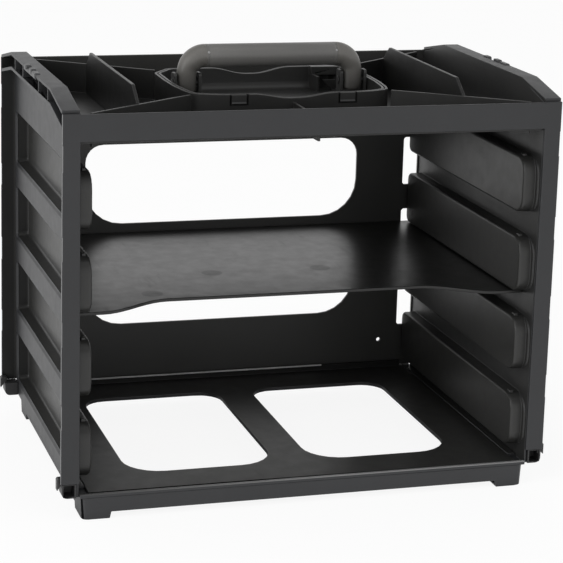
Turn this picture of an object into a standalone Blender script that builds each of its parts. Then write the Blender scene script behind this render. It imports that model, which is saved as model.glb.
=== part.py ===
"""Open storage caddy with a folding carry handle: an open-fronted rack of moulded plastic panels with two
bays for small cases, a compartmented top tray, and a bail handle that folds flat into a well in the tray.

Frame: +X to the right, +Y to the back, +Z up, origin on the ground below the middle of the rack.
Sizes below are in millimetres, and MM turns them into Blender's metres.
"""

from math import cos, pi, radians, sin

import bmesh
import bpy
from mathutils import Matrix, Vector

MM = 0.001
GAP = 0.3

# Whole rack
HALF_WIDTH = 188.9
POST_FLARE = 1.2
HALF_DEPTH = 132.5
SKIN = 2.5
INNER_HALF_WIDTH = 176.0
POST_FOOT_Z = 28.6
BAR_BOTTOM_Z = 282.2
BAR_TOP_Z = 302.0
POST_TOP_Z = 302.4
EDGE_RECESS = 0.35

# Side walls
PANEL = 2.0
WALL_BOTTOM_Z = 17.5
CREST_TOP_Z = 313.5
CREST_DROP = 9.5
CREST_LEVEL_Y = 83.5
CREST_SKIN = 2.5
LEDGE_DROP = 11.5
CREST_RIBS_Y = (-72.0, -35.0, 32.0, 67.0)
CREST_RIB = 1.8
CREST_RIB_SHORT = 0.6
BOSS_SPANS_Z = ((28.0, 70.7), (89.5, 133.0), (152.3, 196.0), (214.5, 258.5))
BOSS_FRONT_Y = -123.0
BOSS_BACK_Y = 127.5
BOSS_DEPTH = 10.8
BOSS_CORNER = 13.0
BOSS_BACK_CORNER = 6.0
BOSS_EDGE = 2.2
BOSS_FILLET = 2.0
BOSS_SKIN = 2.3
BOSS_ROOT_SKIN = 1.2
BOSS_LIP = 0.6
BOSS_STEP = 1.2
BOSS_STEP_REACH = 4.0
BOSS_STEP_SHORT = 29.5
NUB_HEIGHT = 1.2
NUB_LENGTH = 5.0
BEARER_WIDTH = 5.0
BEARER_THICK = 2.2
BEARER_FRONT_Y = -60.0
BEARER_BACK_Y = 114.0

# Back panel
WINDOW_HALF_WIDTH = 119.0
WINDOW_SPANS_Z = ((71.4, 139.3), (159.3, 227.2))
WINDOW_CORNERS = (31.0, 15.0)
SLOT_SPAN_X = (161.8, 174.9)
SLOT_CENTRES_Z = (78.2, 141.7, 205.2)
SLOT_HALF_HEIGHT = 20.9
SLOT_CORNER = 1.5
PIN_HOLE = (145.3, 44.4)
PIN_HOLE_RADIUS = 1.8

# Base tray
FLOOR_TOP_Z = 20.0
FLOOR_THICK = 3.0
BASE_HALF_WIDTH = 174.8
BASE_CORNER = 5.0
BASE_DRAFT = (0.5, 1.0)
SKIRT_INSET = 0.2
SKIRT_BOTTOM_Z = 5.0
FOOT_INNER_X = 153.0
FOOT_INNER_Y = 105.0
FOOT_SLANT = 1.0
FOOT_SOLE = 2.0
FLOOR_WINDOW_X = (14.3, 130.2)
FLOOR_WINDOW_Y = (-94.2, 87.7)
FLOOR_WINDOW_CORNERS = (29.0, 19.0)
SEAM_X = 168.7
SEAM_WIDTH = 0.8
SEAM_DEPTH = 0.6
CORNER_RECESS_Y = (-129.6, -113.0)
CORNER_RECESS_DEPTH = 1.8
FRONT_GROOVE_Y = (-129.9, -128.9)
FRONT_GROOVE_DEPTH = 0.8
REAR_LIP_Y = (127.2, 129.7)
REAR_LIP_Z = 25.0
LIP_HALF_WIDTH = 165.0

# Middle shelf
SHELF_TOP_Z = 152.0
SHELF_THICK = 2.5
SHELF_FRONT_Y = -83.4
SHELF_FLAT_X = 100.0
SHELF_SIDE_X = 154.0
SHELF_SIDE_Y = -109.6
SHELF_MARKS = ((-108.0, -68.0), (-48.0, -16.0), (41.0, -16.0))
MARK_RADIUS = 8.6
MARK_HEIGHT = 0.12
MARK_SLOPE = 0.6

# Top tray
TRAY_FLOOR_Z = 278.0
TRAY_THICK = 2.5
TRAY_APRON_Y = -104.0
TRAY_APRON_RISE = 5.2
RIM_Z = 302.0
RIB = 2.0
RIB_OUTER = (167.0, 124.5)
RIB_INNER_X = 79.0
RIB_INNER_FRONT_Y = 60.0
RIB_INNER_BACK_Y = 55.0
CENTRE_RIB_Z = 295.0
WELL_FRONT_Y = -68.0
WELL_BACK_Y = 60.0
WELL_FRONT_X = 50.0
WELL_BACK_X = 65.0
WELL_SIDE = (
    (63.0, -65.2),
    (73.0, -61.0),
    (77.8, -56.0),
    (80.3, -46.0),
    (83.0, -24.0),
    (84.0, 4.0),
    (83.4, 36.0),
    (82.0, 41.0),
    (70.0, 57.5),
)
WELL_WALL = 2.0
WELL_GAP = 0.8
DIP_DEPTHS = (3.5, 5.0)
DIP_HALF_WIDTH = 33.0
DIP_FLAT = 3.0
TAB_SPANS_X = ((-50.2, -36.6), (34.7, 48.6))
TAB_BOTTOM_Z = 294.0
TAB_CLEARANCE = 0.6
TAB_SET_IN = 0.5

# Dividers
DIVIDER_X = 126.0
DIVIDER_THICK = 2.5
DIVIDER_TOP_Z = 313.0
DIVIDER_LEVEL_Y = 75.0

# Handle and its housing
HOUSING_BOTTOM_Z = 282.0
HOUSING_FLOOR_Z = 284.5
COVE_RADIUS = 6.0
COVE_LEFT_X = -60.0
GRIP_Z = 321.0
GRIP_RADIUS = 9.0
GRIP_HALF_LENGTH = 52.6
CORE_RADIUS = 6.0
LEG_X = 67.0
LEG_RADIUS = 7.7
BEND_RADIUS = 14.0
PIVOT_Z = 300.0
LEG_END_Z = 292.2
LUG_THICK = 2.3
LUG_HALF_DEPTH = 5.5
LUG_TOP_Z = 308.4
LUG_CORNER = 2.6
LUG_CLEARANCE = 0.85
PIN_RADIUS = 2.5
PIN_HEAD_RADIUS = 3.3
PIN_HEAD = 0.6
BORE_RADIUS = 2.85
CATCH_SPAN_X = (49.0, 73.0)
CATCH_TOP_Z = 302.8
CATCH_POST_Z = 296.0
CATCH_POST_FRONT_Y = 34.0
CATCH_DEPTH = 7.5
CATCH_CHAMFER = 8.5
CATCH_POST_THICK = 2.2
GUSSET_SPAN_X = (57.0, 68.0)
GUSSET_TOP_Z = 293.0
GUSSET_SET_BACK = 13.0

# Crest couplers and post shoes
COUPLER_SPAN_Y = (-28.0, 19.0)
COUPLER_INNER_X = 185.4
COUPLER_OUTER_X = 189.9
COUPLER_BOTTOM_Z = 309.6
COUPLER_WAIST_Z = 312.2
COUPLER_EDGE = 0.9
KNUCKLES = ((10.0, 19.0, 1.0), (-12.0, -2.2, 1.5), (-28.0, -14.6, 0.9))
KNUCKLE_ROUND = 0.9
TONGUE_THICK = 2.4
TONGUE_SHORT = 3.0
SHOE_OUTER_X = 189.1
SHOE_DEPTH = 12.0
SHOE_CORNER = 4.0
SHOE_SKIN = 1.3
SHOE_ROOF = 0.8
HOOK_TOP_Z = 32.6
HOOK_TIP_Z = 23.3
HOOK_ROOT_Z = 27.6
HOOK_OUTER_X = 192.2
HOOK_ROOT_X = 187.0
HOOK_DEPTH = 6.0

CHARCOAL = (0.034, 0.035, 0.037)
CHARCOAL_INSIDE = (0.016, 0.016, 0.015)
HANDLE_GREY = (0.080, 0.077, 0.072)
SHOE_BLACK = (0.020, 0.020, 0.021)
PIN_BLACK = (0.022, 0.022, 0.022)


def clear_scene():
    for old in list(bpy.data.objects):
        bpy.data.objects.remove(old, do_unlink=True)


def make_collection(name):
    group = bpy.data.collections.new(name)
    bpy.context.scene.collection.children.link(group)
    return group


def make_material(name, colour, roughness, metallic=0.0):
    material = bpy.data.materials.new(name)
    material.use_nodes = True
    shader = material.node_tree.nodes["Principled BSDF"]
    shader.inputs["Base Color"].default_value = (*colour, 1.0)
    shader.inputs["Roughness"].default_value = roughness
    shader.inputs["Metallic"].default_value = metallic
    return material


def add_object(name, mesh, group, material=None):
    thing = bpy.data.objects.new(name, mesh)
    group.objects.link(thing)
    if material:
        mesh.materials.append(material)
    if group is cutters:
        thing.hide_render = True
        thing.display_type = "WIRE"
    return thing


def arc(centre, radius, start, end, steps):
    """Points of a circular arc, angles in degrees, both ends included."""
    points = []
    for step in range(steps + 1):
        angle = radians(start + (end - start) * step / steps)
        points.append((centre[0] + radius * cos(angle), centre[1] + radius * sin(angle)))
    return points


def rounded_rectangle(low, high, radius, steps=4):
    """A rectangle with one corner radius, or with a pair of them for its lower and its upper corners."""
    lower, upper = radius if isinstance(radius, tuple) else (radius, radius)
    (left, bottom), (right, top) = low, high
    outline = arc((right - upper, top - upper), upper, 0, 90, steps)
    outline += arc((left + upper, top - upper), upper, 90, 180, steps)
    outline += arc((left + lower, bottom + lower), lower, 180, 270, steps)
    outline += arc((right - lower, bottom + lower), lower, 270, 360, steps)
    return outline


def circle(centre, radius, steps=16):
    return arc(centre, radius, 0, 360, steps)[:-1]


AXES = {
    "x": Matrix(((0, 0, 1), (1, 0, 0), (0, 1, 0))).to_4x4(),
    "y": Matrix(((1, 0, 0), (0, 0, -1), (0, 1, 0))).to_4x4(),
    "z": Matrix.Identity(4),
}


def prism(name, loops, axis, low, high, group, material=None):
    """A flat outline, with holes as further loops, pushed along an axis from low to high.

    The loops hold (y, z) for axis x, (x, z) for axis y and (x, y) for axis z.
    """
    low, high = sorted((low, high))
    curve = bpy.data.curves.new(name, "CURVE")
    curve.dimensions = "2D"
    curve.fill_mode = "BOTH"
    curve.extrude = (high - low) * MM / 2
    for loop in loops:
        spline = curve.splines.new("POLY")
        spline.points.add(len(loop) - 1)
        for point, (u, v) in zip(spline.points, loop):
            point.co = (u * MM, v * MM, 0, 1)
        spline.use_cyclic_u = True
    outline = bpy.data.objects.new(name + "_outline", curve)
    cutters.objects.link(outline)
    bpy.context.view_layer.update()
    evaluated = outline.evaluated_get(bpy.context.evaluated_depsgraph_get())
    mesh = bpy.data.meshes.new_from_object(evaluated)
    bpy.data.objects.remove(outline, do_unlink=True)
    mesh.name = name
    centre = Vector([(low + high) * MM / 2 if letter == axis else 0.0 for letter in "xyz"])
    mesh.transform(Matrix.Translation(centre) @ AXES[axis])
    weld(mesh, merge_flats=len(loops) == 1)
    return add_object(name, mesh, group, material)


def weld(mesh, merge_flats=True):
    """Joins the loose caps to the walls and, on a face with no hole, merges its triangles into one."""
    shape = bmesh.new()
    shape.from_mesh(mesh)
    bmesh.ops.remove_doubles(shape, verts=shape.verts, dist=0.000002)
    if merge_flats:
        bmesh.ops.dissolve_limit(shape, angle_limit=radians(0.5), verts=shape.verts, edges=shape.edges)
    bmesh.ops.recalc_face_normals(shape, faces=shape.faces)
    shape.to_mesh(mesh)
    shape.free()


def block(name, span_x, span_y, span_z, group, material=None):
    """A box between the given spans."""
    spans = [sorted(span) for span in (span_x, span_y, span_z)]
    shape = bmesh.new()
    bmesh.ops.create_cube(shape, size=1.0)
    size = [(high - low) * MM for low, high in spans]
    centre = [(high + low) * MM / 2 for low, high in spans]
    bmesh.ops.scale(shape, vec=size, verts=shape.verts)
    bmesh.ops.translate(shape, vec=centre, verts=shape.verts)
    mesh = bpy.data.meshes.new(name)
    shape.to_mesh(mesh)
    shape.free()
    return add_object(name, mesh, group, material)


def rod(name, span_x, centre_yz, radius, group, material=None, steps=16):
    """A round bar along X."""
    return prism(name, [circle(centre_yz, radius, steps)], "x", *span_x, group, material)


def round_edges_at(thing, axis, value, width, steps=2):
    """Rounds the outline edges of a prism's end face that lies at this place on the axis."""
    index = "xyz".index(axis)
    shape = bmesh.new()
    shape.from_mesh(thing.data)
    rim = [
        edge
        for edge in shape.edges
        if all(abs(vert.co[index] - value * MM) < 0.00001 for vert in edge.verts)
        and edge.calc_face_angle(0.0) > radians(30)
    ]
    bmesh.ops.bevel(shape, geom=rim, offset=width * MM, segments=steps, profile=0.5, affect="EDGES")
    shape.to_mesh(thing.data)
    shape.free()


def flare(thing, axis, start, end, growth):
    """Moves a prism's sides outward along its axis: by nothing at the start and by the growth at the end.

    The growth is a pair, for the two other axes in turn. A negative one moves the sides inward.
    """
    index = "xyz".index(axis)
    others = [other for other in range(3) if other != index]
    verts = thing.data.vertices
    middles = [(min(v.co[other] for v in verts) + max(v.co[other] for v in verts)) / 2 for other in others]
    for vert in verts:
        share = (vert.co[index] / MM - start) / (end - start)
        for other, middle, amount in zip(others, middles, growth):
            vert.co[other] += amount * MM * share * (1 if vert.co[other] > middle else -1)


def combine(thing, other, operation):
    modifier = thing.modifiers.new(operation.lower() + "_" + other.name, "BOOLEAN")
    modifier.operation = operation
    modifier.solver = "EXACT"
    modifier.object = other


def join(thing, *others):
    for other in others:
        combine(thing, other, "UNION")


def cut(thing, *others):
    for other in others:
        combine(thing, other, "DIFFERENCE")


def crest_z(y):
    """Height of the side wall's top edge, level in the middle and falling to both ends."""
    fall = max(0.0, abs(y) - CREST_LEVEL_Y) / (HALF_DEPTH - CREST_LEVEL_Y)
    return CREST_TOP_Z - CREST_DROP * fall


def crest_band(end_y, top_drop, bottom_drop):
    """A strip in the side view that follows the crest, between two distances below it."""
    corners = (-end_y, -CREST_LEVEL_Y, CREST_LEVEL_Y, end_y)
    band = [(y, crest_z(y) - top_drop) for y in corners]
    return band + [(y, crest_z(y) - bottom_drop) for y in reversed(corners)]


def boss_outline(span_z, inset):
    """Side view of a boss, its edge pulled in by the inset, with the broader corners in front."""
    bottom, top = span_z
    steps = 4
    outline = []
    for end_y, turn, corner in ((BOSS_FRONT_Y, 1, BOSS_CORNER), (BOSS_BACK_Y, -1, BOSS_BACK_CORNER)):
        middle = end_y + turn * corner
        start = 90 if turn > 0 else -90
        lower = (middle, bottom + corner)
        upper = (middle, top - corner)
        first, second = (upper, lower) if turn > 0 else (lower, upper)
        outline += arc(first, corner - inset, start, start + 90, steps)
        outline += arc(second, corner - inset, start + 90, start + 180, steps)
    return outline


def make_boss(tag, side, span_z):
    """One hollow runner boss: what is added to the panel (block, step and nub) and what is cut from it."""
    bottom, top = span_z
    face = side * (INNER_HALF_WIDTH - BOSS_DEPTH)
    root = side * (INNER_HALF_WIDTH + 0.7)
    body = prism(tag + "_body", [boss_outline(span_z, 0)], "x", face, root, cutters)
    round_edges_at(body, "x", face, BOSS_EDGE)
    outline = rounded_rectangle(
        (BOSS_FRONT_Y - BOSS_STEP_REACH, bottom + 1), (BOSS_BACK_Y - BOSS_STEP_SHORT, top - 1), BOSS_CORNER
    )
    step_face = side * (INNER_HALF_WIDTH - BOSS_STEP)
    step = prism(tag + "_step", [outline], "x", step_face, root - side * 0.2, cutters)
    nub_front = BOSS_FRONT_Y + BOSS_CORNER - 3
    nub = block(
        tag + "_nub",
        (face + side * 3, face + side * 6),
        (nub_front, nub_front + NUB_LENGTH),
        (top - 1, top + NUB_HEIGHT),
        cutters,
    )
    deep = face + side * BOSS_SKIN
    shallow = side * (INNER_HALF_WIDTH + 0.5)
    hollow = prism(tag + "_hollow", [boss_outline(span_z, BOSS_SKIN)], "x", deep, shallow, cutters)
    round_edges_at(hollow, "x", deep, BOSS_FILLET)
    growth = BOSS_SKIN - BOSS_ROOT_SKIN
    flare(hollow, "x", deep, shallow, (growth, growth))
    start = side * (INNER_HALF_WIDTH + 0.2)
    outside = side * (INNER_HALF_WIDTH + PANEL)
    beyond = outside + side * 0.5
    lip = prism(tag + "_lip", [boss_outline(span_z, BOSS_ROOT_SKIN)], "x", start, beyond, cutters)
    growth = BOSS_ROOT_SKIN + BOSS_LIP
    flare(lip, "x", start, outside, (growth, growth))
    return [body, step, nub], [hollow, lip]


def make_side_wall(label, side, material):
    """A side wall: panel, four hollow runner bosses, and the ribbed crest along its top."""
    end_y = HALF_DEPTH - SKIN - GAP
    inner = side * INNER_HALF_WIDTH
    panel_outside = side * (INNER_HALF_WIDTH + PANEL)
    outer = side * HALF_WIDTH
    top_inset = CREST_SKIN / 2
    outline = [(-end_y, WALL_BOTTOM_Z), (end_y, WALL_BOTTOM_Z)]
    outline += [(y, crest_z(y) - top_inset) for y in (end_y, CREST_LEVEL_Y, -CREST_LEVEL_Y, -end_y)]
    outline[2] = (end_y, crest_z(end_y) - CREST_SKIN - 1)
    outline[-1] = (-end_y, crest_z(end_y) - CREST_SKIN - 1)
    wall = prism(label + "_side_wall", [outline], "x", inner, panel_outside, caddy, material)
    into_panel = panel_outside - side * 0.5
    strip = crest_band(end_y, 0, CREST_SKIN)
    join(wall, prism(label + "_crest_strip", [strip], "x", inner, outer, cutters))
    ledge = crest_band(end_y, LEDGE_DROP, LEDGE_DROP + CREST_SKIN)
    join(wall, prism(label + "_crest_ledge", [ledge], "x", into_panel, outer, cutters))
    for number, y in enumerate(CREST_RIBS_Y):
        span_y = (y - CREST_RIB / 2, y + CREST_RIB / 2)
        span_z = (crest_z(y) - LEDGE_DROP - 1, crest_z(y) - 1)
        span_x = (into_panel, outer - side * CREST_RIB_SHORT)
        join(wall, block(f"{label}_crest_rib_{number}", span_x, span_y, span_z, cutters))
    hollows = []
    for number, span_z in enumerate(BOSS_SPANS_Z):
        solids, cuts = make_boss(f"{label}_boss_{number}", side, span_z)
        join(wall, *solids)
        hollows += cuts
    cut(wall, *hollows)
    for name, top in (("shelf", SHELF_TOP_Z - SHELF_THICK), ("tray", TRAY_FLOOR_Z - TRAY_THICK)):
        span_x = (inner - side * BEARER_WIDTH, inner + side * 0.6)
        span_z = (top - GAP - BEARER_THICK, top - GAP)
        bearer = block(f"{label}_{name}_bearer", span_x, (BEARER_FRONT_Y, BEARER_BACK_Y), span_z, cutters)
        join(wall, bearer)
    notch_y = (COUPLER_SPAN_Y[0] - GAP, COUPLER_SPAN_Y[1] + GAP)
    notch_z = (COUPLER_BOTTOM_Z - GAP, CREST_TOP_Z + 3)
    notch_x = (side * COUPLER_INNER_X, outer + side * 3)
    cut(wall, block(label + "_coupler_notch", notch_x, notch_y, notch_z, cutters))
    return wall


def post_outside(z):
    """Half the width over the posts, which flare slightly towards their feet."""
    return HALF_WIDTH + POST_FLARE * (POST_TOP_Z - z) / (POST_TOP_Z - POST_FOOT_Z)


def post_edge(spans_z):
    """The outer edge of the right post from bottom to top, set in slightly beside each runner channel."""
    edge = []
    for low, high in spans_z:
        set_in = ((low + EDGE_RECESS, EDGE_RECESS), (high - EDGE_RECESS, EDGE_RECESS))
        for z, recess in ((low, 0), *set_in, (high, 0)):
            edge.append((post_outside(z) - recess, z))
    return edge


def channel_spans():
    spans = [(low[1], high[0]) for low, high in zip(BOSS_SPANS_Z, BOSS_SPANS_Z[1:])]
    return spans + [(BOSS_SPANS_Z[-1][1] + 2, BAR_BOTTOM_Z - 2)]


def post_outline(middle_top, middle_bottom):
    """The flat frame seen from the front: two posts and what joins them between two heights."""
    right = [(post_outside(POST_FOOT_Z), POST_FOOT_Z)] + post_edge(channel_spans())
    right.append((HALF_WIDTH, POST_TOP_Z))
    right += [(INNER_HALF_WIDTH, POST_TOP_Z), (INNER_HALF_WIDTH, middle_top)]
    left = [(-x, z) for x, z in reversed(right)]
    foot = [(-INNER_HALF_WIDTH, POST_FOOT_Z), (-INNER_HALF_WIDTH, middle_bottom)]
    foot += [(INNER_HALF_WIDTH, middle_bottom), (INNER_HALF_WIDTH, POST_FOOT_Z)]
    return right + left + foot


def make_front_frame(material):
    """Two posts and the top bar in one moulding, open between them for the bays."""
    outline = post_outline(BAR_TOP_Z, BAR_BOTTOM_Z)
    return prism("front_frame", [outline], "y", -HALF_DEPTH, -HALF_DEPTH + SKIN, caddy, material)


def make_back_panel(material):
    """The back: full width, with a window to each bay and a slot behind each runner channel."""
    loops = [post_outline(RIM_Z, FLOOR_TOP_Z + GAP)]
    for bottom, top in WINDOW_SPANS_Z:
        loops.append(
            rounded_rectangle((-WINDOW_HALF_WIDTH, bottom), (WINDOW_HALF_WIDTH, top), WINDOW_CORNERS, 6)
        )
    near, far = SLOT_SPAN_X
    for centre in SLOT_CENTRES_Z:
        bottom, top = centre - SLOT_HALF_HEIGHT, centre + SLOT_HALF_HEIGHT
        loops.append(rounded_rectangle((near, bottom), (far, top), SLOT_CORNER, 1))
        loops.append(rounded_rectangle((-far, bottom), (-near, top), SLOT_CORNER, 1))
    loops.append(circle(PIN_HOLE, PIN_HOLE_RADIUS, 10))
    return prism("back_panel", loops, "y", HALF_DEPTH - SKIN, HALF_DEPTH, caddy, material)


def make_base_tray(material):
    """The floor with its two windows, its skirt, and a closed foot at each corner."""
    side_x = INNER_HALF_WIDTH - GAP
    floor = [(-side_x, -HALF_DEPTH), (side_x, -HALF_DEPTH), (side_x, HALF_DEPTH), (-side_x, HALF_DEPTH)]
    underside = FLOOR_TOP_Z - FLOOR_THICK
    base = prism("base_tray", [floor], "z", underside, FLOOR_TOP_Z, caddy, material)
    (near, far), (front, back) = FLOOR_WINDOW_X, FLOOR_WINDOW_Y
    for label, low_x, high_x in (("left", -far, -near), ("right", near, far)):
        outline = rounded_rectangle((low_x, front), (high_x, back), FLOOR_WINDOW_CORNERS, 6)
        cut(base, prism(label + "_floor_window", [outline], "z", underside - 2, FLOOR_TOP_Z + 2, cutters))
    skirt_top = underside + 1
    corner = (BASE_HALF_WIDTH - SKIRT_INSET, HALF_DEPTH - SKIRT_INSET)
    outline = rounded_rectangle((-corner[0], -corner[1]), corner, BASE_CORNER, 3)
    skirt = prism("skirt", [outline], "z", 0, skirt_top, cutters)
    draft = [-amount for amount in BASE_DRAFT]
    flare(skirt, "z", skirt_top, 0, draft)
    inside = (corner[0] - SKIN, corner[1] - SKIN)
    outline = rounded_rectangle((-inside[0], -inside[1]), inside, BASE_CORNER - SKIN / 2, 2)
    hollow = prism("skirt_hollow", [outline], "z", FOOT_SOLE, skirt_top + 2, cutters)
    flare(hollow, "z", skirt_top, 0, draft)
    cut(skirt, hollow)
    reach = HALF_WIDTH + 10
    cut(skirt, prism("foot_gap_across", [foot_gap(FOOT_INNER_X)], "y", -reach, reach, cutters))
    cut(skirt, prism("foot_gap_along", [foot_gap(FOOT_INNER_Y)], "x", -reach, reach, cutters))
    join(base, skirt)
    for side in (-1, 1):
        span_x = (side * (SEAM_X - SEAM_WIDTH / 2), side * (SEAM_X + SEAM_WIDTH / 2))
        span_z = (FLOOR_TOP_Z - SEAM_DEPTH, FLOOR_TOP_Z + 2)
        span_y = (CORNER_RECESS_Y[1] - 1, HALF_DEPTH - SKIN)
        cut(base, block(f"floor_seam_{side}", span_x, span_y, span_z, cutters))
        span_x = (side * SEAM_X, side * (side_x + 2))
        span_z = (FLOOR_TOP_Z - CORNER_RECESS_DEPTH, FLOOR_TOP_Z + 3)
        cut(base, block(f"corner_recess_{side}", span_x, CORNER_RECESS_Y, span_z, cutters))
    span_x = (-LIP_HALF_WIDTH, LIP_HALF_WIDTH)
    span_z = (FLOOR_TOP_Z - FRONT_GROOVE_DEPTH, FLOOR_TOP_Z + 2)
    cut(base, block("front_groove", span_x, FRONT_GROOVE_Y, span_z, cutters))
    join(base, block("rear_lip", span_x, REAR_LIP_Y, (FLOOR_TOP_Z - 1, REAR_LIP_Z), cutters))
    return base


def foot_gap(inner):
    """Outline of the gap under the skirt between two feet."""
    half = [(inner, -1), (inner, 0), (inner - FOOT_SLANT, SKIRT_BOTTOM_Z)]
    return half + [(-across, z) for across, z in reversed(half)]


def shelf_front(x):
    """Front edge of the shelf: set back in the middle, sweeping forward to both sides."""
    share = (abs(x) - SHELF_FLAT_X) / (SHELF_SIDE_X - SHELF_FLAT_X)
    share = min(1.0, max(0.0, share))
    smooth = share * share * (3 - 2 * share)
    return SHELF_FRONT_Y + (SHELF_SIDE_Y - SHELF_FRONT_Y) * smooth


def make_mid_shelf(material):
    side_x = INNER_HALF_WIDTH - GAP
    steps = 10
    sweep = [SHELF_FLAT_X + (SHELF_SIDE_X - SHELF_FLAT_X) * step / steps for step in range(steps + 1)]
    right = [(x, shelf_front(x)) for x in sweep]
    right += [(side_x, SHELF_SIDE_Y), (side_x, HALF_DEPTH - SKIN - GAP)]
    outline = right + [(-x, y) for x, y in reversed(right)]
    shelf = prism("mid_shelf", [outline], "z", SHELF_TOP_Z - SHELF_THICK, SHELF_TOP_Z, caddy, material)
    for number, centre in enumerate(SHELF_MARKS):
        join(shelf, low_disc(f"shelf_mark_{number}", centre, SHELF_TOP_Z, cutters))
    return shelf


def low_disc(name, centre, ground_z, group):
    """A very low round witness mark on a flat face, its rim sloping down into the face."""
    buried = 0.6
    shape = bmesh.new()
    foot_radius = MARK_RADIUS + MARK_SLOPE * (1 + buried / MARK_HEIGHT)
    height = MARK_HEIGHT + buried
    bmesh.ops.create_cone(
        shape,
        cap_ends=True,
        segments=24,
        radius1=foot_radius * MM,
        radius2=MARK_RADIUS * MM,
        depth=height * MM,
    )
    place = Vector((*centre, ground_z + MARK_HEIGHT - height / 2)) * MM
    bmesh.ops.translate(shape, vec=place, verts=shape.verts)
    mesh = bpy.data.meshes.new(name)
    shape.to_mesh(mesh)
    shape.free()
    return add_object(name, mesh, group)


def well_outline(inset):
    """Plan of the handle well, its wall pulled in by the inset: corners clipped, sides bowed out."""
    right = [(WELL_FRONT_X, WELL_FRONT_Y), *WELL_SIDE, (WELL_BACK_X, WELL_BACK_Y)]
    points = [Vector(point) for point in right] + [Vector((-x, y)) for x, y in reversed(right)]
    moved = []
    for before, here, after in zip(points[-1:] + points[:-1], points, points[1:] + points[:1]):
        first = (here - before).normalized()
        second = (after - here).normalized()
        first_normal = Vector((-first.y, first.x))
        second_normal = Vector((-second.y, second.x))
        inward = (first_normal + second_normal).normalized()
        place = here + inward * (inset / max(0.5, inward.dot(first_normal)))
        moved.append((place.x, place.y))
    return moved


def rim_dip(depth):
    """Side view across X of what is cut from a rim of the well, so that fingers reach the grip."""
    steps = 8
    curve = []
    for step in range(-steps, steps + 1):
        x = DIP_HALF_WIDTH * step / steps
        share = max(0.0, abs(x) - DIP_FLAT) / (DIP_HALF_WIDTH - DIP_FLAT)
        drop = depth * (1 + cos(pi * share)) / 2
        curve.append((x, RIM_Z - drop))
    high = RIM_Z + 5
    curve[0] = (-DIP_HALF_WIDTH, RIM_Z + 0.05)
    curve[-1] = (DIP_HALF_WIDTH, RIM_Z + 0.05)
    return curve + [(DIP_HALF_WIDTH, high), (-DIP_HALF_WIDTH, high)]


def cut_rim_dips(thing):
    """Cuts the finger dips into the front and the back rim."""
    spans = ((WELL_FRONT_Y - 3, 0), (10, WELL_BACK_Y + 3))
    for label, depth, (low, high) in zip(("front", "back"), DIP_DEPTHS, spans):
        cut(thing, prism(f"{thing.name}_{label}_dip", [rim_dip(depth)], "y", low, high, cutters))


def rib_between(name, start, end, low, high, group):
    """A thin upright rib between two places in plan."""
    start, end = Vector(start), Vector(end)
    along = (end - start).normalized()
    across = Vector((-along.y, along.x)) * RIB / 2
    corners = [start - across, end - across, end + across, start + across]
    return prism(name, [[tuple(corner) for corner in corners]], "z", low, high, group)


def make_top_tray(material):
    """The tray: floor, the upright wall round the handle well, and the ribs that part the compartments."""
    side_x = INNER_HALF_WIDTH - GAP
    end_y = HALF_DEPTH - SKIN - GAP
    underside = TRAY_FLOOR_Z - TRAY_THICK
    floor = [(-end_y, underside + TRAY_APRON_RISE), (TRAY_APRON_Y, underside), (end_y, underside)]
    floor += [(y, z + TRAY_THICK) for y, z in reversed(floor)]
    tray = prism("top_tray", [floor], "x", -side_x, side_x, caddy, material)
    well = prism("well_opening", [well_outline(WELL_WALL)], "z", underside - 2, TRAY_FLOOR_Z + 2, cutters)
    cut(tray, well)
    wall_base = underside + 0.6
    loops = [well_outline(0), well_outline(WELL_WALL)]
    join(tray, prism("well_wall", loops, "z", wall_base, RIM_Z, cutters))
    rib_base = TRAY_FLOOR_Z - 0.7
    for x_side in (-1, 1):
        for y_side in (-1, 1):
            start = (x_side * RIB_INNER_X, diagonal_y(RIB_INNER_X, y_side))
            end = (x_side * RIB_OUTER[0], diagonal_y(RIB_OUTER[0], y_side))
            name = f"diagonal_rib_{x_side}_{y_side}"
            join(tray, rib_between(name, start, end, rib_base, RIM_Z - 0.4, cutters))
    start = (0, WELL_FRONT_Y + WELL_WALL / 2)
    join(tray, rib_between("centre_rib", start, (0, -end_y + 0.2), rib_base, CENTRE_RIB_Z, cutters))
    for number, (left, right) in enumerate(TAB_SPANS_X):
        span_y = (WELL_FRONT_Y - 2, WELL_FRONT_Y + WELL_WALL + 0.3)
        window = block(f"tab_window_{number}", (left, right), span_y, (TAB_BOTTOM_Z, RIM_Z + 2), cutters)
        cut(tray, window)
    cut_rim_dips(tray)
    return tray


def lug_outline():
    outline = []
    for side, start in ((1, 0), (-1, 90)):
        centre = (side * (LUG_HALF_DEPTH - LUG_CORNER), LUG_TOP_Z - LUG_CORNER)
        outline += arc(centre, LUG_CORNER, start, start + 90, 3)
    return outline + [(-LUG_HALF_DEPTH, HOUSING_FLOOR_Z - 1), (LUG_HALF_DEPTH, HOUSING_FLOOR_Z - 1)]


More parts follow.
